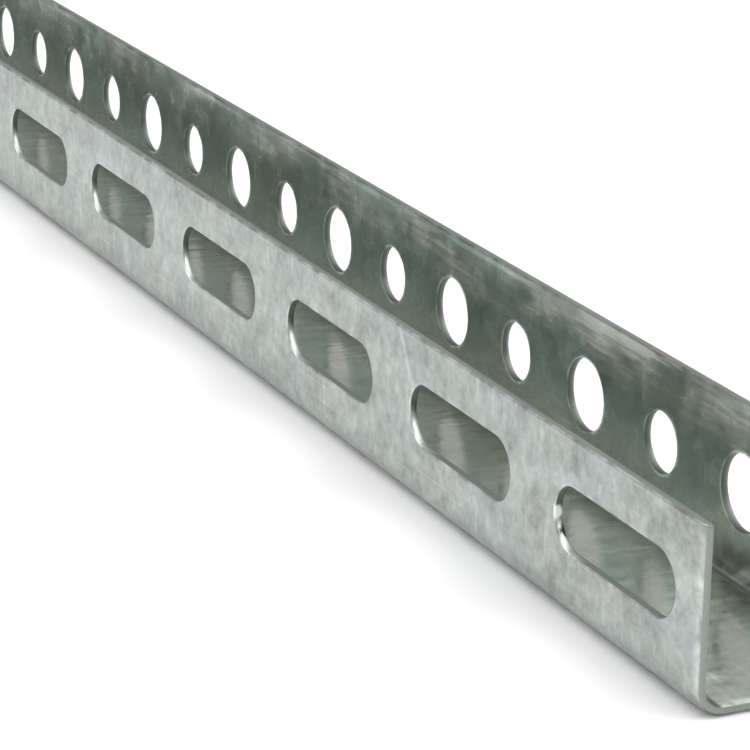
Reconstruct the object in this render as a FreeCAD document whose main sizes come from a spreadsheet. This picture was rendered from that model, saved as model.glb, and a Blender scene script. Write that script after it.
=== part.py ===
import FreeCAD, Part
import Sketcher
import math
import os

# Cold-formed steel U-channel, open side up, punched along both flanges before forming.
# Millimetres. X runs along the length and points to the front end, Y goes across,
# and Z goes up from the underside of the web. The origin is below the middle of the channel.

doc = FreeCAD.newDocument("u_channel")

# Sizes
values = {
    "stockLength": 914.4,
    "webWidth": 25.4,
    "flangeHeight": 22.2,
    "sheet": 1.0,
    "bendInside": 2.5,
    "patternPitch": 38.1,
    "slotLength": 27.0,
    "slotWidth": 7.9,
    "slotHeight": 12.4,
    "slotStart": 19.05,
    "largeHole": 9.5,
    "largeStart": 31.75,
    "smallHole": 7.9,
    "smallStart": 12.7,
    "holeHeight": 11.2,
}

sizes = doc.addObject("Spreadsheet::Sheet", "sizes")
for row, (name, value) in enumerate(values.items(), start=1):
    sizes.set(f"A{row}", name)
    sizes.set(f"B{row}", str(value))
    sizes.setAlias(f"B{row}", name)
doc.recompute()

body = doc.addObject("PartDesign::Body", "channel")
body.Label = "channel"
body.Placement = FreeCAD.Placement()


def origin_feature(role):
    for feature in body.Origin.OriginFeatures:
        if feature.Role == role:
            return feature
    raise RuntimeError(f"the body has no {role}")


def new_sketch(name, role):
    sketch = body.newObject("Sketcher::SketchObject", name)
    sketch.AttachmentSupport = [(origin_feature(role), "")]
    sketch.MapMode = "FlatFace"
    return sketch


def bind(sketch, constraint, name, expression):
    """Add a dimension, name it and tie it to the table of sizes."""
    index = sketch.addConstraint(constraint)
    sketch.renameConstraint(index, name)
    sketch.setExpression(f"Constraints.{name}", expression)


def arc(x, y, radius, start, end):
    circle = Part.Circle(FreeCAD.Vector(x, y, 0), FreeCAD.Vector(0, 0, 1), radius)
    return Part.ArcOfCircle(circle, start, end)


def line(x1, y1, x2, y2):
    return Part.LineSegment(FreeCAD.Vector(x1, y1, 0), FreeCAD.Vector(x2, y2, 0))


# Section: the folded strip seen from the end, two flanges and a web joined by round bends
side = values["webWidth"] / 2
top = values["flangeHeight"]
thick = values["sheet"]
inner = values["bendInside"]
outer = inner + thick
down = 1.5 * math.pi

section = new_sketch("section", "YZ_Plane")
outline = [
    line(-side, top, -side, outer),
    arc(-side + outer, outer, outer, math.pi, down),
    line(-side + outer, 0, side - outer, 0),
    arc(side - outer, outer, outer, down, 2 * math.pi),
    line(side, outer, side, top),
    line(side, top, side - thick, top),
    line(side - thick, top, side - thick, outer),
    arc(side - outer, outer, inner, down, 2 * math.pi),
    line(side - outer, thick, -side + outer, thick),
    arc(-side + outer, outer, inner, math.pi, down),
    line(-side + thick, outer, -side + thick, top),
    line(-side + thick, top, -side, top),
]
section.addGeometry(outline, False)

# Corners at the two top edges, smooth joints where the flat sheet runs into a bend
for first, second in [(4, 5), (5, 6), (10, 11), (11, 0)]:
    section.addConstraint(Sketcher.Constraint("Coincident", first, 2, second, 1))
for straight, straight_end, bend, bend_end in [
    (0, 2, 1, 1),
    (2, 1, 1, 2),
    (2, 2, 3, 1),
    (4, 1, 3, 2),
    (6, 2, 7, 2),
    (8, 1, 7, 1),
    (8, 2, 9, 2),
    (10, 1, 9, 1),
]:
    section.addConstraint(Sketcher.Constraint("Tangent", straight, straight_end, bend, bend_end))
for edge in [0, 4, 6, 10]:
    section.addConstraint(Sketcher.Constraint("Vertical", edge))
for edge in [2, 5, 8, 11]:
    section.addConstraint(Sketcher.Constraint("Horizontal", edge))
section.addConstraint(Sketcher.Constraint("PointOnObject", 2, 1, -1))
section.addConstraint(Sketcher.Constraint("Symmetric", 0, 1, 4, 2, -2))
section.addConstraint(Sketcher.Constraint("Equal", 1, 3))
section.addConstraint(Sketcher.Constraint("Equal", 7, 9))
bind(section, Sketcher.Constraint("DistanceX", 0, 1, 4, 2, 2 * side), "width", "sizes.webWidth")
bind(section, Sketcher.Constraint("DistanceY", -1, 1, 4, 2, top), "height", "sizes.flangeHeight")
bind(section, Sketcher.Constraint("DistanceX", 11, 2, 11, 1, thick), "leftSheet", "sizes.sheet")
bind(section, Sketcher.Constraint("DistanceX", 5, 2, 5, 1, thick), "rightSheet", "sizes.sheet")
bind(section, Sketcher.Constraint("DistanceY", 2, 1, 8, 2, thick), "webSheet", "sizes.sheet")
bind(section, Sketcher.Constraint("Radius", 7, inner), "bendInside", "sizes.bendInside")
bind(section, Sketcher.Constraint("Radius", 1, outer), "bendOutside", "sizes.bendInside + sizes.sheet")
doc.recompute()

profile = body.newObject("PartDesign::Pad", "profile")
profile.Profile = section
profile.SideType = "Symmetric"
profile.setExpression("Length", "sizes.stockLength")
doc.recompute()


# Punched openings: one is cut from the middle plane out through a single flange,
# then repeated from the front end for as many whole pitches as the length holds
def punch(name, sketch, through_back):
    before = body.Shape.Volume
    cut = body.newObject("PartDesign::Pocket", name)
    cut.Profile = sketch
    cut.Type = "ThroughAll"
    cut.Reversed = not through_back
    doc.recompute()
    if cut.Shape.Volume > before - 1:
        raise RuntimeError(f"{name} cuts nothing")

    row = body.newObject("PartDesign::LinearPattern", name + "Row")
    row.Originals = [cut]
    row.Direction = (origin_feature("X_Axis"), [""])
    row.Reversed = True
    row.Mode = "Spacing"
    row.setExpression("Offset", "sizes.patternPitch")
    row.setExpression("Occurrences", "floor(sizes.stockLength / sizes.patternPitch + 0.01)")
    body.Tip = row
    doc.recompute()
    single = before - cut.Shape.Volume
    if abs(before - row.Shape.Volume - row.Occurrences * single) > 0.01 * single:
        raise RuntimeError(f"{name} is not repeated along the whole flange")


def round_hole(name, diameter, start):
    sketch = new_sketch(name + "Sketch", "XZ_Plane")
    x = values["stockLength"] / 2 - values[start]
    z = values["holeHeight"]
    circle = Part.Circle(FreeCAD.Vector(x, z, 0), FreeCAD.Vector(0, 0, 1), values[diameter] / 2)
    sketch.addGeometry(circle, False)
    bind(sketch, Sketcher.Constraint("Diameter", 0, values[diameter]), "across", f"sizes.{diameter}")
    along = Sketcher.Constraint("DistanceX", -1, 1, 0, 3, x)
    bind(sketch, along, "along", f"sizes.stockLength / 2 - sizes.{start}")
    bind(sketch, Sketcher.Constraint("DistanceY", -1, 1, 0, 3, z), "above", "sizes.holeHeight")
    doc.recompute()
    return sketch


# Slots with round ends in the front flange
slot_sketch = new_sketch("slotSketch", "XZ_Plane")
radius = values["slotWidth"] / 2
reach = values["slotLength"] / 2 - radius
middle = values["stockLength"] / 2 - values["slotStart"]
level = values["slotHeight"]
slot_outline = [
    arc(middle - reach, level, radius, math.pi / 2, down),
    line(middle - reach, level - radius, middle + reach, level - radius),
    arc(middle + reach, level, radius, down, 2.5 * math.pi),
    line(middle + reach, level + radius, middle - reach, level + radius),
]
slot_sketch.addGeometry(slot_outline, False)
for straight, straight_end, bend, bend_end in [(1, 1, 0, 2), (1, 2, 2, 1), (3, 1, 2, 2), (3, 2, 0, 1)]:
    slot_sketch.addConstraint(Sketcher.Constraint("Tangent", straight, straight_end, bend, bend_end))
slot_sketch.addConstraint(Sketcher.Constraint("Horizontal", 1))
slot_sketch.addConstraint(Sketcher.Constraint("Equal", 0, 2))
bind(slot_sketch, Sketcher.Constraint("Radius", 0, radius), "endRadius", "sizes.slotWidth / 2")
centres = Sketcher.Constraint("DistanceX", 0, 3, 2, 3, 2 * reach)
bind(slot_sketch, centres, "centres", "sizes.slotLength - sizes.slotWidth")
nearer = Sketcher.Constraint("DistanceX", -1, 1, 2, 3, middle + reach)
place = "sizes.stockLength / 2 - sizes.slotStart + (sizes.slotLength - sizes.slotWidth) / 2"
bind(slot_sketch, nearer, "along", place)
bind(slot_sketch, Sketcher.Constraint("DistanceY", -1, 1, 2, 3, level), "above", "sizes.slotHeight")
doc.recompute()

punch("slot", slot_sketch, False)

# Large and small round holes by turns in the back flange
punch("large", round_hole("large", "largeHole", "largeStart"), True)
punch("small", round_hole("small", "smallHole", "smallStart"), True)

# Check of every feature, then the channel on its own in one file
for item in doc.Objects:
    if "Invalid" in item.State or "Error" in item.State:
        raise RuntimeError(f"{item.Name} did not compute")
if body.Shape.isNull() or not body.Shape.isValid() or len(body.Shape.Solids) != 1:
    raise RuntimeError("the channel is not one valid solid")

os.makedirs("parts", exist_ok=True)
body.Shape.exportStep("parts/channel.step")
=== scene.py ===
import math

import bmesh
import bpy
import numpy as np
from mathutils import Matrix, Vector


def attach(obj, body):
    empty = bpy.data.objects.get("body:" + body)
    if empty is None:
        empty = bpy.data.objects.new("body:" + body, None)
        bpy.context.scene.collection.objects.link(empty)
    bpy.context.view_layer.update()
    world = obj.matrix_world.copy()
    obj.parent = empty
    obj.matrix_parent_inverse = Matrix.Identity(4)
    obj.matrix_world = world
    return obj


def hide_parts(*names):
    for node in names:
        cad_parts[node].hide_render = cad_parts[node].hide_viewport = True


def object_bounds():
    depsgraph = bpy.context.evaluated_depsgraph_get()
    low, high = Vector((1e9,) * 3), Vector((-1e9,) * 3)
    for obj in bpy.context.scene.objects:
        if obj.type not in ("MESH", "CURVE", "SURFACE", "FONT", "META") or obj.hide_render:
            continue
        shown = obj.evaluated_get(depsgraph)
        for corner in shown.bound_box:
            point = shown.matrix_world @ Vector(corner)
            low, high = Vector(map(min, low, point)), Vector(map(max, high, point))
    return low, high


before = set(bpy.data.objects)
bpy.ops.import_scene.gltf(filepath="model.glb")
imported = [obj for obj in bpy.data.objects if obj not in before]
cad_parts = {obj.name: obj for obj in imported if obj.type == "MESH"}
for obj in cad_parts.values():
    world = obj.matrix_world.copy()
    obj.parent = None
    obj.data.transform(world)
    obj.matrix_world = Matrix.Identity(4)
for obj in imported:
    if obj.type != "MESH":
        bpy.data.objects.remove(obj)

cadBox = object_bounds()
scene = bpy.context.scene
mm = 0.001

# The punched and folded strip. Lengths are in millimetres.
strip = {
    "sheet": 1.0,
    "bendInside": 2.5,
    "pitch": 38.1,
    "slotLength": 27.0,
    "slotWidth": 7.9,
    "slotHeight": 12.4,
    "largeHole": 9.5,
    "smallHole": 7.9,
    "holeHeight": 11.2,
    "slotColumn": 12,             # first slot's middle, in columns from the front end
    "holeColumn": 8,              # first round hole's middle, in columns from the front end
    "columnsPerPitch": 24,
    "columnsPerHole": 12,
    "slotPatch": (7.2, 7.4),      # how far the patch round a slot reaches up and down
    "holePatch": (6.3, 6.2),
    "sideSteps": 8,               # faces up the side of such a patch
    "bendSteps": 8,
    "webSteps": 6,
    "cornerSteps": 4,
    "slotRim": (0.42, 0.26),      # a cut edge's soft rim: how far it reaches and how deep it dips
    "holeRim": (0.28, 0.2),
    "slitRim": (0.38, 0.3),
    "endRim": (2.0, 0.34),
    "rimAngles": (35.0, 65.0, 90.0),
    "cleanCut": 0.6,              # share of the sheet that is cut before the rest breaks
    "breakLean": 0.04,            # how far the break leans back
    "burrStart": 0.03,            # depth of the burr's start under the inner skin
    "burrHeight": 0.035,
    "burrTip": 0.03,              # how far the burr's tip and foot stand back
    "burrFoot": 0.11,
    "burrRing": 0.3,              # ring round an opening on the inner skin, with a painted highlight
    "burrBare": 0.3,
    "slitBare": 0.9,              # the coat is partly smeared over the slit edges
    "slotBroken": (0.0, 0.85),    # how broken a wall is at its outer and inner side
    "holeBroken": (0.85, 1.0),
    "endBroken": (0.7, 0.76),
    "slitBroken": (0.58, 0.86),
    "upperBrokenShade": 0.9,           # added to a slot's wall at its upper side, which faces down: painted shade and a rougher wall
    "upperSide": (-0.36, 0.04),   # where that starts and is full: -1 faces down, 1 faces up
    "lowerBroken": 0.8,           # a slot's straight lower side
    "lowerSide": (0.4, 2.4),      # where it starts and is full, from the end that was cut cleanly
    "lowerFacing": -0.5,          # the lower side is all that faces down more than this
    "shadedSide": (0.1, 1.1),       # towards the upper front, a slot's rim is painted in the wall's dark steel as painted shade
    "shadedRim": 0.85,
    "weldGap": 0.002,
    "sharpAngle": 42.0,
}

# The outside measures come from the CAD box
low, high = np.array(cadBox) / mm
length, width, height = high - low
half = length / 2
outerBend = strip["bendInside"] + strip["sheet"]
topHeight = height - strip["slitRim"][0]

# Patches of the mesh are gathered here, then welded
patches = {"points": [], "faces": [], "cut": [], "inside": [], "broken": []}


def addPatch(points, cut, inside, broken=0, closed=False):
    # points is a grid of rows by columns; neighbours in both directions share a four-sided face
    rows, columns = points.shape[:2]
    start = sum(len(p) for p in patches["points"])
    index = start + np.arange(rows * columns).reshape(rows, columns)
    if closed:
        index = np.concatenate([index, index[:, :1]], axis=1)
    faces = np.stack([index[:-1, :-1], index[1:, :-1], index[1:, 1:], index[:-1, 1:]], axis=-1)
    patches["points"].append(points.reshape(-1, 3))
    patches["faces"].append(faces.reshape(-1, 4))
    for name, values in (("cut", cut), ("inside", inside), ("broken", broken)):
        patches[name].append(np.broadcast_to(values, (rows, columns)).reshape(-1))


def ramp(value, start, end):
    # Grows evenly from 0 at the start to 1 at the end
    return np.clip((value - start) / (end - start), 0, 1)


def skin(x, y, z, inY, inZ, depth):
    # A point of the strip: a point of the outer skin moved inwards along its normal by the depth
    x, y, z, inY, inZ, depth = np.broadcast_arrays(x, y, z, inY, inZ, depth)
    return np.stack([x, y + depth * inY, z + depth * inZ], axis=-1)


def shearedEdge(rim, bare, rough):
    # Across a cut edge, from the outer skin to the inner one: a quarter ellipse for the soft rim,
    # the straight cut wall, the rough break that leans back a little, and a thin burr.
    # Bare is the share of steel that shows, rough how broken the wall is at its two sides.
    reach, dip = rim
    sheet = strip["sheet"]
    angle = np.radians(strip["rimAngles"])
    wallOut = reach - np.array([0, strip["breakLean"], strip["burrTip"], strip["burrFoot"], reach])
    wallDepth = [
        strip["cleanCut"] * sheet, sheet - strip["burrStart"], sheet + strip["burrHeight"], sheet, sheet,
    ]
    out = np.concatenate([[0], reach * np.sin(angle), wallOut])
    depth = np.concatenate([[0], dip * (1 - np.cos(angle)), wallDepth])
    cut = bare * np.array([0, 0.2, 0.7, 1, 1, 1, 1, 0.4, 0])
    inside = np.array([0, 0, 0, 0, 0.5, 1, 1, 1, 1])
    broken = rough[0] + (rough[1] - rough[0]) * np.array([0, 0, 0, 0, 0.4, 1, 1, 1, 1])
    return out, depth, cut, inside, broken


def placeColumns():
    # X of each column, at even steps from the front end to the back end. The first and last leave
    # room for the end's rim, and their neighbours lie halfway to the next ones.
    count = int(round(length / strip["pitch"] * strip["columnsPerPitch"]))
    x = half - np.arange(count + 1) * strip["pitch"] / strip["columnsPerPitch"]
    x[0] -= strip["endRim"][0]
    x[-1] += strip["endRim"][0]
    x[1] = (x[0] + x[2]) / 2
    x[-2] = (x[-1] + x[-3]) / 2
    return x


columnX = placeColumns()


def frontRow(z):
    # Rows of the section on the front flange: y and z of the outer skin, then its inward normal
    z = np.asarray(z, float)
    return np.stack([np.full_like(z, -width / 2), z, np.ones_like(z), np.zeros_like(z)], axis=1)


def mirrored(rows):
    # The same rows on the other flange, in the other order
    return rows[::-1] * np.array([-1, 1, -1, 1])


def sideHeights(level, reach):
    # Heights of the rows up the side of the patch round an opening, at even steps from the top
    return np.linspace(level + reach[0], level - reach[1], strip["sideSteps"] + 1)


def underRows(frontLow, backLow):
    # The section below the openings: each bend is a quarter circle, the web a straight line
    turn = np.linspace(0, np.pi / 2, strip["bendSteps"] + 1)
    webY = np.linspace(-width / 2 + outerBend, width / 2 - outerBend, strip["webSteps"] + 1)
    bend = np.stack([
        -width / 2 + outerBend - outerBend * np.cos(turn),
        outerBend - outerBend * np.sin(turn),
        np.cos(turn),
        np.sin(turn),
    ], axis=1)
    web = np.stack([webY, 0 * webY, 0 * webY, 1 + 0 * webY], axis=1)
    return np.concatenate([
        frontRow([frontLow]), bend, web[1:-1], mirrored(bend), mirrored(frontRow([backLow])),
    ])


def splitRows(rows):
    # Each value of the rows as a column
    return (rows[:, i][:, None] for i in range(4))


def stripPatch(rows, x):
    # Both skins of a plain stretch: every row at every column, at no depth and at the sheet's
    for depth, inside in ((0, 0), (strip["sheet"], 1)):
        y, z, inY, inZ = splitRows(rows)
        addPatch(skin(x[None, :], y, z, inY, inZ, depth), 0, inside)


def openingPatch(side, first, last, column, heights, level, halfStraight, radius, rim, rough):
    # A ring of faces between the patch's rectangle and the opening: each point of the rectangle
    # looks at the nearest point of the opening's middle line and stops at the opening's edge
    x = columnX[first:last + 1]
    ring = np.concatenate([
        np.stack([x[:-1], np.full(len(x) - 1, heights[0])], axis=1),
        np.stack([np.full(len(heights) - 1, x[-1]), heights[:-1]], axis=1),
        np.stack([x[:0:-1], np.full(len(x) - 1, heights[-1])], axis=1),
        np.stack([np.full(len(heights) - 1, x[0]), heights[:0:-1]], axis=1),
    ])
    centre = np.array([half - column * strip["pitch"] / strip["columnsPerPitch"], level])
    away = ring - centre
    core = np.clip(away[:, 0], -halfStraight, halfStraight)
    away[:, 0] -= core
    away /= np.linalg.norm(away, axis=1, keepdims=True)

    out, depth, cut, inside, broken = shearedEdge(rim, 1, rough)
    out = np.append(out, -strip["burrRing"])
    depth, inside, broken = (np.append(a, a[-1]) for a in (depth, inside, broken))
    cut = np.append(cut, 0)
    cut[-2] = strip["burrBare"]
    reach = (radius + rim[0] - out)[:, None]
    edgeX = centre[0] + core[None, :] + reach * away[None, :, 0]
    edgeZ = centre[1] + reach * away[None, :, 1]
    allX = np.concatenate([ring[None, :, 0], edgeX, ring[None, :, 0]])
    allZ = np.concatenate([ring[None, :, 1], edgeZ, ring[None, :, 1]])
    allDepth = np.concatenate([[0], depth, [strip["sheet"]]])[:, None]
    points = skin(allX, side * width / 2, allZ, -side, 0, allDepth)

    cut, broken = cut[:, None], broken[:, None]
    if halfStraight:
        # A slot's wall is more broken, so painted darker, at its upper side, which faces down: painted
        # shade. It is also more broken along its straight lower side
        upper = ramp(away[None, :, 1], *strip["upperSide"])
        broken = broken + (1 - broken) * upper * strip["upperBrokenShade"]
        facingDown = away[None, :, 1] < strip["lowerFacing"]
        lower = ramp(core[None, :] + halfStraight, *strip["lowerSide"]) * facingDown
        broken = np.maximum(broken, strip["lowerBroken"] * lower)
        # Painted shade: towards the upper front, the rim takes the wall's dark steel
        farther = ramp(away[None, :, 1] + away[None, :, 0], *strip["shadedSide"]) ** 0.5
        shadedRows = np.array([0, strip["shadedRim"], 1, 1, 1, 1, 1, 1, 0, 0])[:, None]
        cut = np.maximum(cut, shadedRows * farther)
    addPatch(
        points,
        np.pad(cut, ((1, 1), (0, 0))),
        np.concatenate([[0], inside, [1]])[:, None],
        np.pad(broken, ((1, 1), (0, 0))),
        closed=True,
    )


def makeOpenings(frontHeights, backHeights):
    # One opening at every so many columns
    count = len(columnX) - 1

    # Slots in the front flange
    reach = strip["columnsPerPitch"] // 2
    straight = (strip["slotLength"] - strip["slotWidth"]) / 2
    for column in range(strip["slotColumn"], count, strip["columnsPerPitch"]):
        openingPatch(
            -1, column - reach, column + reach, column, frontHeights, strip["slotHeight"],
            straight, strip["slotWidth"] / 2, strip["slotRim"], strip["slotBroken"],
        )

    # Small and large holes by turns in the back flange, after a short plain stretch
    reach = strip["columnsPerHole"] // 2
    stripPatch(mirrored(frontRow(backHeights)), columnX[:strip["holeColumn"] - reach + 1])
    diameters = [strip["smallHole"], strip["largeHole"]]
    for number, column in enumerate(range(strip["holeColumn"], count, strip["columnsPerHole"])):
        openingPatch(
            1, column - reach, min(column + reach, count), column, backHeights, strip["holeHeight"],
            0, diameters[number % 2] / 2, strip["holeRim"], strip["holeBroken"],
        )


def makeEdges(section):
    # The cut edges carry shearedEdge along the strip's outline. In a flange's corner one edge turns
    # into the other along a rounded quarter, with the square roots of the cosine and sine.
    endOut, endDepth, endCut, inside, endBroken = shearedEdge(strip["endRim"], 1, strip["endBroken"])
    slitOut, slitDepth, slitCut, inside, slitBroken = shearedEdge(
        strip["slitRim"], strip["slitBare"], strip["slitBroken"]
    )
    corner = np.radians(np.linspace(0, 90, strip["cornerSteps"] + 1))[:, None]
    shrinkEnd = np.cos(corner) ** 0.5
    shrinkEnd[-1] = 0
    shrinkSlit = np.sin(corner) ** 0.5
    mix = np.sin(corner) ** 2
    for sign in (1, -1):
        y, z, inY, inZ = splitRows(section)
        endX = sign * (half - strip["endRim"][0] + endOut)
        addPatch(skin(endX, y, z, inY, inZ, endDepth), endCut, inside, endBroken)
        for side in (-1, 1):
            x = sign * (half - strip["endRim"][0] + endOut * shrinkEnd)
            up = topHeight + slitOut * shrinkSlit
            depth = endDepth * (1 - mix) + slitDepth * mix
            addPatch(
                skin(x, side * width / 2, up, -side, 0, depth),
                endCut * (1 - mix) + slitCut * mix,
                inside,
                endBroken * (1 - mix) + slitBroken * mix,
            )
    for side in (-1, 1):
        points = skin(columnX[:, None], side * width / 2, topHeight + slitOut, -side, 0, slitDepth)
        addPatch(points, slitCut, inside, slitBroken)


def makeStrip():
    # Plain stretches above and below the openings, then the openings and the cut edges
    frontHeights = sideHeights(strip["slotHeight"], strip["slotPatch"])
    backHeights = sideHeights(strip["holeHeight"], strip["holePatch"])
    frontTop = frontRow([topHeight, frontHeights[0]])
    backTop = mirrored(frontRow([topHeight, backHeights[0]]))
    under = underRows(frontHeights[-1], backHeights[-1])
    for rows in (frontTop, under, backTop):
        stripPatch(rows, columnX)
    makeOpenings(frontHeights, backHeights)
    makeEdges(np.concatenate([
        frontTop[:1], frontRow(frontHeights), under[1:-1], mirrored(frontRow(backHeights)), backTop[-1:],
    ]))


def weldStrip():
    # All patches in one mesh, joined where their borders meet, as a closed shell that faces outwards
    mesh = bpy.data.meshes.new("channelSheet")
    points = np.concatenate(patches["points"]) * mm
    mesh.from_pydata(points, [], np.concatenate(patches["faces"]).tolist())
    for name in ("cut", "inside", "broken"):
        values = mesh.attributes.new(name, "FLOAT", "POINT")
        values.data.foreach_set("value", np.concatenate(patches[name]).astype(np.float32))
    work = bmesh.new()
    work.from_mesh(mesh)
    bmesh.ops.remove_doubles(work, verts=work.verts, dist=strip["weldGap"] * mm)
    bmesh.ops.dissolve_degenerate(work, edges=work.edges, dist=strip["weldGap"] * mm / 20)
    bmesh.ops.recalc_face_normals(work, faces=work.faces)
    openEdges = sum(1 for edge in work.edges if len(edge.link_faces) != 2)
    if work.calc_volume(signed=True) < 0:
        bmesh.ops.reverse_faces(work, faces=work.faces)
    work.to_mesh(mesh)
    work.free()
    mesh.shade_smooth()
    mesh.set_sharp_from_angle(angle=math.radians(strip["sharpAngle"]))
    print("strip:", len(mesh.vertices), "points,", len(mesh.polygons), "faces,", openEdges, "open edges")
    return mesh


makeStrip()
channel = bpy.data.objects.new("channelSheet", weldStrip())
scene.collection.objects.link(channel)
weights = channel.modifiers.new("weightedNormals", "WEIGHTED_NORMAL")
weights.keep_sharp = True
weights.weight = 90

# Zinc coat with sheared edges. Sizes are in millimetres, strengths are shares of the tone,
# and a pair of strengths is for the outside and the inside of the strip.
coat = {
    "green": (0.372, 0.413, 0.387),
    "plain": (0.39, 0.408, 0.382),
    "blue": (0.376, 0.403, 0.4),
    # Inside colours, painted lighter than the outside ones as painted light inside the channel
    "insideGreen": (0.484, 0.564, 0.526),
    "insideOlive": (0.537, 0.56, 0.496),
    "insideBrown": (0.545, 0.54, 0.505),
    "insideTeal": (0.462, 0.578, 0.555),
    # dark colour of the painted shade and dust in the inner corners and folds
    "shadeGrime": (0.05, 0.058, 0.042),
    "bareSteel": (0.64, 0.685, 0.64),
    "brokenSteel": (0.118, 0.136, 0.117),
    "grain": (0.65, 0.3),
    "blotch": (0.95, 0.3),
    "cloud": (0.4, 0.6),
    "smear": (0.16, 0.05),        # pale marks across the strip
    "streak": (0.12, 0.04),       # fine rolling lines along the strip
    "rim": (0.15, 0.4),           # painted highlight where a cut edge turns over
    "spangle": 0.06,
    "spangleSize": 3.0,
    "scratch": 0.16,
    # painted shade on the outer lower fold; darker towards the top
    "foldDull": 0.04,
    "topDull": 0.1,
    "run": 0.28,                  # a pale run mark
    "runMark": 396.6,             # where it would meet the underside
    "runLean": 0.6,               # how far it leans back per length that it rises
    "runWave": 1.5,
    # painted light on the web inside, painted shade on the inner flanges
    "webPaintedLight": 0.09,
    "flangePaintedShade": 0.1,
    "rubbed": 0.9,                # paler band inside, next to the slit edges: rubbed wear and painted light
    "rubbedBrown": 1.6,
    "nearEndWave": 24.0,
    "webOlive": 0.8,
    "glintDashLine": 21.4,             # height of the painted highlight dashes below the slit edge
    "dashGlint": 0.4,
    # painted shade as dust in the inner corners
    "cornerDustShade": 0.92,
    "dustShine": 0.15,
    "dustDull": 0.3,
    "foldLine": 9.8,              # distance of the fold's line of painted shade and dust from the middle plane
    "foldShade": 0.6,
    "foldGlint": 0.12,
    "glintOffset": 0.5,           # of the painted highlight, from that line outwards
    "crumb": 0.45,
    "gloss": (0.36, 0.25),        # roughness
    "webGloss": 0.17,
    "glossSpread": (0.3, 0.2),
    "reliefDepth": 1.0,
    "sheetRelief": 0.03,          # slow unevenness of the sheet
    "webRelief": 0.08,
    "grainRelief": (0.005, 0.0006),
    "crumbRelief": 0.006,
    "tornTipHighlight": ((424.6, -12.4, 12.2), 1.1, (0.8, 0.82, 0.79)),     # middle, size and colour: a painted highlight on the tip, a painted shadow in the pit
    "tornPitShadow": ((425.5, -11.3, 10.2), 1.3, (0.012, 0.013, 0.01)),
    # Each noise, with its size in millimetres and its stretch along x, y and z
    "noises": {
        "grain": {"size": 1.1, "rough": 0.6, "bend": 0.4},
        "blotch": {"size": 3.4, "bend": 0.5},
        "cloud": {"size": 18.0, "bend": 0.3},
        "tint": {"size": 12.0, "rough": 0.55, "bend": 0.6},
        "streak": {"size": 0.6, "detail": 1, "rough": 0.6, "stretch": (50, 1, 1)},
        "scratch": {"size": 0.3, "detail": 0, "stretch": (70, 1, 1)},
        "smear": {"size": 1.1, "detail": 1, "stretch": (1, 1, 4.5), "bend": 0.3},
        "rubbed": {"size": 6.0, "detail": 3, "rough": 0.55, "stretch": (3, 1, 1), "bend": 0.3},
        "rubbedStreak": {"size": 0.9, "rough": 0.6, "stretch": (14, 1, 1)},
        "rollDash": {"size": 1.6, "detail": 1, "stretch": (8, 1, 1)},
        "foldDirt": {"size": 5.0, "stretch": (4, 1, 1)},
        "crumb": {"size": 0.2, "detail": 1, "rough": 0.6},
        "sheet": {"size": 10.0, "detail": 0},
        "web": {"size": 4.0, "detail": 1, "stretch": (0.7, 2.5, 1), "bend": 0.5},
    },
    # A mask runs from 0 to 1, or over the pair in brackets, between two values of a pattern
    "masks": {
        "scratchLines": (0.68, 0.76),
        "scratchPatches": (0.45, 0.6),
        "smears": (0.6, 0.74),
        "rubbedPatches": (0.38, 0.62),
        "rubbedStreaks": (0.38, 0.62, (0.35, 1.3)),
        "rollDashes": (0.42, 0.56),
        "rimStart": (0.05, 0.3),
        "rimStop": (0.95, 0.7),
        "rimPatches": (0.38, 0.62, (0.1, 2.6)),
        "blueToGreen": (0.36, 0.5),
        "greenToPlain": (0.5, 0.62),
        "greenToOlive": (0.42, 0.6),
        "tealPatches": (0.35, 0.6, (0.2, 0.8)),
        "cornerPatches": (0.3, 0.65, (0.6, 1.0)),
        "foldDirt": (0.35, 0.6, (0.8, 1.0)),
        "endDust": (0.35, 0.6, (0.16, 0.4)),
        "offCut": (0.3, 0.0),
        "onCut": (0.0, 0.3),
        "wall": (0.6, 0.98),
        "brokenShade": (0.86, 0.91, (1.0, 0.7)),
        "wallGloss": (0.0, 1.0, (0.3, 0.5)),
        "ragged": (0.35, 0.65, (0.85, 1.15)),
    },
    # A zone does the same between two lengths
    "zones": {
        "foldDull": (4.5, 0.5),
        "topDull": (15.0, 20.0),
        "runWidth": (0.75, 0.1),
        "runHeight": (15.5, 17.0),
        "web": (4.5, 1.5),
        "rubbed": (14.0, 21.0),
        "rubbedAlong": (225.0, 440.0, (0.35, 1.7)),
        "nearEnd": (408.0, 417.0, (0.0, 0.4)),
        "rollWidth": (0.45, 0.2),
        "tealHeight": (5.5, 11.0),
        "cornerHeight": (7.5, 2.5),
        "cornerAcross": (9.0, 10.4),
        "lineWidth": (0.45, 0.2),
        "lineHeight": (2.2, 1.6),
        "endDust": (6.0, 0.5),
        "shadeHeight": (2.1, 1.6),
        "shadeAcross": (9.0, 9.4),
        "glintWidth": (0.22, 0.08),
    },
}

zinc = bpy.data.materials.new("zinc")
zinc.use_nodes = True
tree = zinc.node_tree


def makeNode(kind, values=None, **settings):
    # A node with its settings; a value that is a socket is linked, any other is set
    made = tree.nodes.new(kind)
    for name, value in settings.items():
        setattr(made, name, value)
    for socket, value in (values or {}).items():
        if isinstance(value, bpy.types.NodeSocket):
            tree.links.new(value, made.inputs[socket])
        else:
            made.inputs[socket].default_value = value
    return made


def calculate(operation, first, second=0.0, third=0.0, clamp=False):
    # One Math node on numbers or sockets
    values = {0: first, 1: second, 2: third}
    return makeNode("ShaderNodeMath", values, operation=operation, use_clamp=clamp).outputs[0]


def times(first, second, clamp=False):
    return calculate("MULTIPLY", first, second, clamp=clamp)


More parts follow.
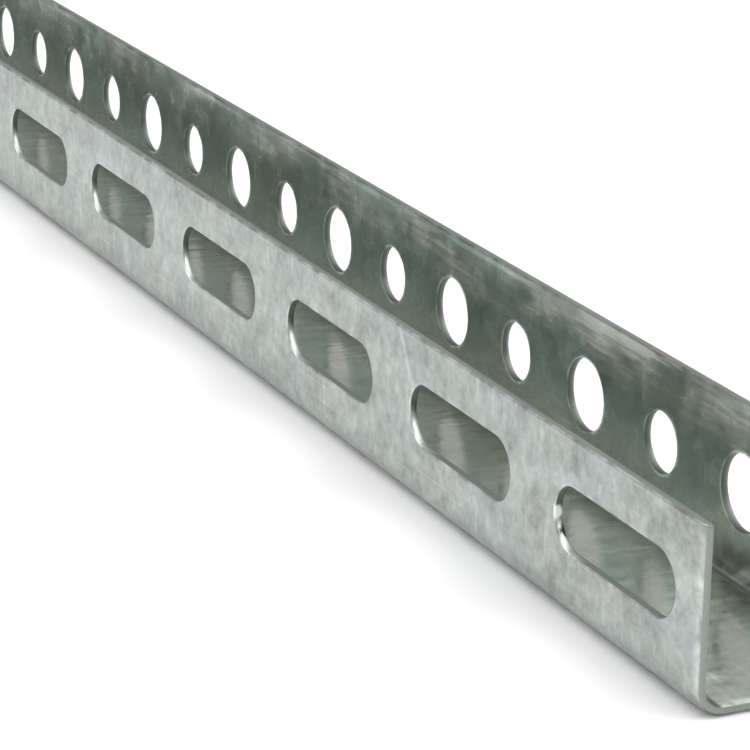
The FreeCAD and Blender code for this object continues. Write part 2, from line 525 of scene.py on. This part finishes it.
def addTo(base, pattern, strength):
    # The base plus the pattern times its strength
    return calculate("MULTIPLY_ADD", pattern, strength, base)


def swing(base, pattern, strength):
    # The base plus the pattern's swing about its middle value, times its strength
    return addTo(base, calculate("SUBTRACT", pattern, 0.5), strength)


def offset(value, middle):
    # How far a place is from a middle, either way
    return calculate("ABSOLUTE", calculate("SUBTRACT", value, middle * mm))


def spread(value, start, end, to=(0.0, 1.0)):
    # A smooth step between the start and the end
    values = {"Value": value, "From Min": start, "From Max": end, "To Min": to[0], "To Max": to[1]}
    return makeNode("ShaderNodeMapRange", values, interpolation_type="SMOOTHSTEP").outputs[0]


def mask(value, name):
    # The smooth step that the coat gives for this name
    return spread(value, *coat["masks"][name])


def zone(value, name):
    # The same for a length
    start, end, *to = coat["zones"][name]
    return spread(value, start * mm, end * mm, *to)


def blendColors(share, first, second, kind="MIX"):
    # Both colours, the second one by its share; a kind other than a mix is given by its name
    made = makeNode("ShaderNodeMix", {"Factor": share}, data_type="RGBA", blend_type=kind)
    for socket, value in (("A_Color", first), ("B_Color", second)):
        target = next(s for s in made.inputs if s.identifier == socket)
        if isinstance(value, bpy.types.NodeSocket):
            tree.links.new(value, target)
        else:
            target.default_value = (*value, 1)
    return next(s for s in made.outputs if s.identifier == "Result_Color")


def scaleColor(color, factor):
    # The colour times a number
    grey = makeNode("ShaderNodeCombineColor", {0: factor, 1: factor, 2: factor}).outputs[0]
    return blendColors(1.0, color, grey, "MULTIPLY")


def scalePlace(place, size, stretch=(1, 1, 1)):
    # The place counted in features of a size in millimetres, longer along a stretched axis
    scale = tuple(1000 / (size * s) for s in stretch)
    return makeNode("ShaderNodeVectorMath", {0: place, 1: scale}, operation="MULTIPLY").outputs[0]


def addNoise(place, name):
    # Soft noise with the settings that the coat gives for this name
    noise = {"detail": 2, "rough": 0.5, "stretch": (1, 1, 1), "bend": 0.0, **coat["noises"][name]}
    return makeNode("ShaderNodeTexNoise", {
        "Vector": scalePlace(place, noise["size"], noise["stretch"]),
        "Scale": 1.0,
        "Detail": noise["detail"],
        "Roughness": noise["rough"],
        "Distortion": noise["bend"],
    }).outputs[0]


def readValue(name):
    # A value that the mesh keeps at each point
    return makeNode("ShaderNodeAttribute", attribute_name=name).outputs["Fac"]


def makeZinc():
    # The tone is one plus each pattern times its strength, painted light and shade among them; the
    # tints, the dust and painted shade, the painted highlights and the bare walls follow, then
    # roughness, metal and relief
    shader = tree.nodes["Principled BSDF"]
    place = makeNode("ShaderNodeTexCoord").outputs["Object"]
    along, side, above = makeNode("ShaderNodeSeparateXYZ", {0: place}).outputs
    across = calculate("ABSOLUTE", side)
    cut = readValue("cut")
    inside = readValue("inside")
    broken = readValue("broken")
    outside = calculate("SUBTRACT", 1.0, inside)
    grain = addNoise(place, "grain")
    blotch = addNoise(place, "blotch")
    cloud = addNoise(place, "cloud")
    tint = addNoise(place, "tint")
    crumb = addNoise(place, "crumb")

    def bySide(name):
        # The strength that the coat gives for each side
        return spread(inside, 0.0, 1.0, coat[name])

    tone = swing(1.0, grain, bySide("grain"))
    tone = swing(tone, blotch, bySide("blotch"))
    tone = swing(tone, addNoise(place, "streak"), bySide("streak"))
    cells = {"Vector": scalePlace(place, coat["spangleSize"]), "Scale": 1.0}
    spangle = makeNode("ShaderNodeTexVoronoi", cells).outputs["Color"]
    spangle = makeNode("ShaderNodeSeparateColor", {0: spangle}).outputs[0]
    tone = swing(tone, spangle, coat["spangle"])
    tone = swing(tone, cloud, bySide("cloud"))
    scratches = times(mask(addNoise(place, "scratch"), "scratchLines"), mask(tint, "scratchPatches"))
    tone = addTo(tone, scratches, coat["scratch"])
    tone = addTo(tone, mask(addNoise(place, "smear"), "smears"), bySide("smear"))

    # Outside, the lower fold is painted darker as painted shade, and the tone is darker towards the top
    outsideDarkening = times(zone(above, "foldDull"), coat["foldDull"])
    outsideDarkening = addTo(outsideDarkening, zone(above, "topDull"), coat["topDull"])
    tone = calculate("SUBTRACT", tone, times(outsideDarkening, outside))

    # A pale run mark from the slit edge down to the second slot
    runPlace = swing(addTo(along, above, coat["runLean"]), blotch, coat["runWave"] * mm)
    run = times(zone(offset(runPlace, coat["runMark"]), "runWidth"), zone(above, "runHeight"))
    tone = addTo(tone, times(run, outside), coat["run"])

    # Inside, the web is painted lighter than the flanges: painted light on the web, painted shade on the
    # flanges
    web = times(zone(above, "web"), inside)
    tone = addTo(tone, web, coat["webPaintedLight"] + coat["flangePaintedShade"])
    tone = addTo(tone, inside, -coat["flangePaintedShade"])

    # Inside, next to the slit edges, the coat is paler: rubbed wear in patches with fine streaks, and
    # painted light on this upper band and all along near the front end. It fades towards the back end.
    rubbedPatches = mask(addNoise(place, "rubbed"), "rubbedPatches")
    nearEnd = zone(swing(along, tint, coat["nearEndWave"] * mm), "nearEnd")
    rubbedPatches = calculate("MAXIMUM", rubbedPatches, nearEnd)
    rubbed = times(times(zone(above, "rubbed"), inside), rubbedPatches)
    rubbed = times(rubbed, mask(addNoise(place, "rubbedStreak"), "rubbedStreaks"))
    rubbed = times(rubbed, zone(along, "rubbedAlong"))
    tone = addTo(tone, rubbed, coat["rubbed"])
    # Painted highlight: pale dashes just below the slit edge, inside
    glintDashLine = zone(offset(above, coat["glintDashLine"]), "rollWidth")
    glintDashLine = times(glintDashLine, mask(addNoise(place, "rollDash"), "rollDashes"))
    tone = addTo(tone, times(glintDashLine, inside), coat["dashGlint"])

    # A painted highlight along the rim of a cut edge, in patches
    rim = times(mask(cut, "rimStart"), mask(cut, "rimStop"))
    rim = times(rim, mask(blotch, "rimPatches"))
    tone = addTo(tone, rim, bySide("rim"))

    color = blendColors(mask(tint, "blueToGreen"), coat["blue"], coat["green"])
    color = blendColors(mask(tint, "greenToPlain"), color, coat["plain"])
    insideColor = blendColors(mask(tint, "greenToOlive"), coat["insideGreen"], coat["insideOlive"])
    teal = times(zone(above, "tealHeight"), mask(cloud, "tealPatches"))
    insideColor = blendColors(teal, insideColor, coat["insideTeal"])
    insideColor = blendColors(times(web, coat["webOlive"]), insideColor, coat["insideOlive"])
    brown = times(rubbed, coat["rubbedBrown"], clamp=True)
    insideColor = blendColors(brown, insideColor, coat["insideBrown"])
    color = scaleColor(blendColors(inside, color, insideColor), tone)

    # Painted shade as dark dust, which also takes the metal away: in the inner corners and in a line
    # along each fold. Near the strip's ends the inside is darkened the same way
    corner = times(zone(above, "cornerHeight"), zone(across, "cornerAcross"))
    dustAndShade = times(times(corner, mask(blotch, "cornerPatches")), coat["cornerDustShade"])
    foldLine = times(zone(offset(across, coat["foldLine"]), "lineWidth"), zone(above, "lineHeight"))
    foldLine = times(foldLine, mask(addNoise(place, "foldDirt"), "foldDirt"))
    dustAndShade = calculate("MAXIMUM", dustAndShade, foldLine)
    fromEnd = calculate("SUBTRACT", cadBox[1][0], calculate("ABSOLUTE", along))
    endDust = times(zone(fromEnd, "endDust"), mask(cut, "offCut"))
    endDust = times(endDust, mask(blotch, "endDust"))
    dustAndShade = times(calculate("MAXIMUM", dustAndShade, endDust), inside)
    color = blendColors(dustAndShade, color, coat["shadeGrime"])

    # Painted shade darkens the fold itself, and a painted highlight lies just outside the fold's line
    fold = times(times(zone(above, "shadeHeight"), zone(across, "shadeAcross")), inside)
    color = scaleColor(color, spread(fold, 0.0, 1.0, (1.0, coat["foldShade"])))
    glint = zone(offset(across, coat["foldLine"] + coat["glintOffset"]), "glintWidth")
    glint = times(times(glint, zone(above, "lineHeight")), inside)
    color = blendColors(times(glint, coat["foldGlint"]), color, coat["bareSteel"])

    # Sheared wall: burnished where it was cut, dark and crumbly where it broke. The most broken parts
    # are painted darker still, as painted shade
    wall = mask(cut, "wall")
    steel = blendColors(broken, coat["bareSteel"], coat["brokenSteel"])
    steel = scaleColor(steel, swing(1.0, crumb, coat["crumb"]))
    steel = scaleColor(steel, mask(broken, "brokenShade"))
    color = blendColors(wall, color, steel)

    # A torn spot on the wall of the slot nearest to the front end: a painted highlight on its tip and a
    # painted shadow in its pit
    for name in ("tornTipHighlight", "tornPitShadow"):
        middle, size, shade = coat[name]
        ends = {0: place, 1: tuple(v * mm for v in middle)}
        distance = makeNode("ShaderNodeVectorMath", ends, operation="DISTANCE").outputs["Value"]
        distance = times(distance, mask(grain, "ragged"))
        spot = times(spread(distance, size * mm, size / 2 * mm), mask(cut, "onCut"))
        color = blendColors(spot, color, shade)
    tree.links.new(color, shader.inputs["Base Color"])

    gloss = addTo(bySide("gloss"), web, coat["webGloss"] - coat["gloss"][1])
    gloss = swing(gloss, blotch, bySide("glossSpread"))
    gloss = addTo(gloss, dustAndShade, coat["dustDull"])
    both = {"Factor": wall, "A": gloss, "B": mask(broken, "wallGloss")}
    gloss = makeNode("ShaderNodeMix", both, data_type="FLOAT").outputs[0]
    tree.links.new(gloss, shader.inputs["Roughness"])
    tree.links.new(calculate("SUBTRACT", 1.0, dustAndShade), shader.inputs["Metallic"])
    shader.inputs["Specular IOR Level"].default_value = coat["dustShine"]

    # Relief: the sheet's unevenness, the web's ripples, the coat's grain and the break's crumbs
    relief = times(addNoise(place, "sheet"), coat["sheetRelief"])
    relief = addTo(relief, times(addNoise(place, "web"), web), coat["webRelief"])
    relief = addTo(relief, grain, bySide("grainRelief"))
    relief = addTo(relief, times(crumb, wall), coat["crumbRelief"])
    bumps = {"Strength": 1.0, "Distance": coat["reliefDepth"] * mm, "Height": relief}
    tree.links.new(makeNode("ShaderNodeBump", bumps).outputs[0], shader.inputs["Normal"])


makeZinc()
print("zinc:", len(tree.nodes), "nodes")
channel.data.materials.append(zinc)

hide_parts("channel")
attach(channel, "root")

# Floor, world and lights, in metres. A softbox has its place, target, size and power.
studio = {
    "floorSize": 3.0,
    "floorDrop": 0.0001,
    "floorColor": (0.94, 0.94, 0.94),
    "floorRough": 0.9,
    "worldStrength": 0.53,
    "softboxes": {
        "topLight": ((0.25, 0, 1.3), (0.25, 0, 0), (1.4, 1.3), 7.5),
        "backLight": ((0.78, 0.7, 0.85), (0.45, 0, 0.2), (1.9, 0.85), 11),
        "fillLight": ((-0.15, -0.9, 1.0), (0.15, 0, 0), (1.4, 1.2), 8.5),
    },
}

floorMesh = bpy.data.meshes.new("floor")
corners = np.array([(-1, -1, 0), (1, -1, 0), (1, 1, 0), (-1, 1, 0)]) * studio["floorSize"]
corners[:, 2] -= studio["floorDrop"]
floorMesh.from_pydata(corners, [], [(0, 1, 2, 3)])
floor = bpy.data.objects.new("floor", floorMesh)
scene.collection.objects.link(floor)
paint = bpy.data.materials.new("floorPaint")
paint.use_nodes = True
paintShader = paint.node_tree.nodes["Principled BSDF"]
paintShader.inputs["Base Color"].default_value = (*studio["floorColor"], 1)
paintShader.inputs["Roughness"].default_value = studio["floorRough"]
floorMesh.materials.append(paint)

world = bpy.data.worlds.new("studio")
world.use_nodes = True
sky = world.node_tree.nodes["Background"]
sky.inputs["Color"].default_value = (1, 1, 1, 1)
sky.inputs["Strength"].default_value = studio["worldStrength"]
scene.world = world


def addSoftbox(name, place, target, size, power):
    # A rectangular light that looks from its place at its target
    light = bpy.data.lights.new(name, "AREA")
    light.shape = "RECTANGLE"
    light.size, light.size_y = size
    light.energy = power
    box = bpy.data.objects.new(name, light)
    direction = Vector(target) - Vector(place)
    box.location = place
    box.rotation_euler = direction.to_track_quat("-Z", "Y").to_euler()
    scene.collection.objects.link(box)


for name, settings in studio["softboxes"].items():
    addSoftbox(name, *settings)
print("studio:", len(studio["softboxes"]), "softboxes")

# Camera at the photograph's angle: its place in metres, its three directions and its lens
view = {
    "place": (0.71690387, -0.17344271, 0.13952322),
    "right": (0.42175396, 0.90655, 0.01704966),
    "down": (0.2945522, -0.11920198, -0.94817187),
    "ahead": (-0.85753286, 0.40491725, -0.3173002),
    "lens": 150.947,
    "sensor": 36,
    "nearest": 0.01,
}
cameraData = bpy.data.cameras.new("camera")
cameraData.sensor_width = view["sensor"]
cameraData.lens = view["lens"]
cameraData.clip_start = view["nearest"]
camera = bpy.data.objects.new("camera", cameraData)
directions = Matrix((view["right"], -Vector(view["down"]), -Vector(view["ahead"]))).transposed()
camera.matrix_world = Matrix.Translation(view["place"]) @ directions.to_4x4()
scene.collection.objects.link(camera)
scene.camera = camera
scene.view_settings.view_transform = "Standard"
print("camera: lens", view["lens"], "mm")
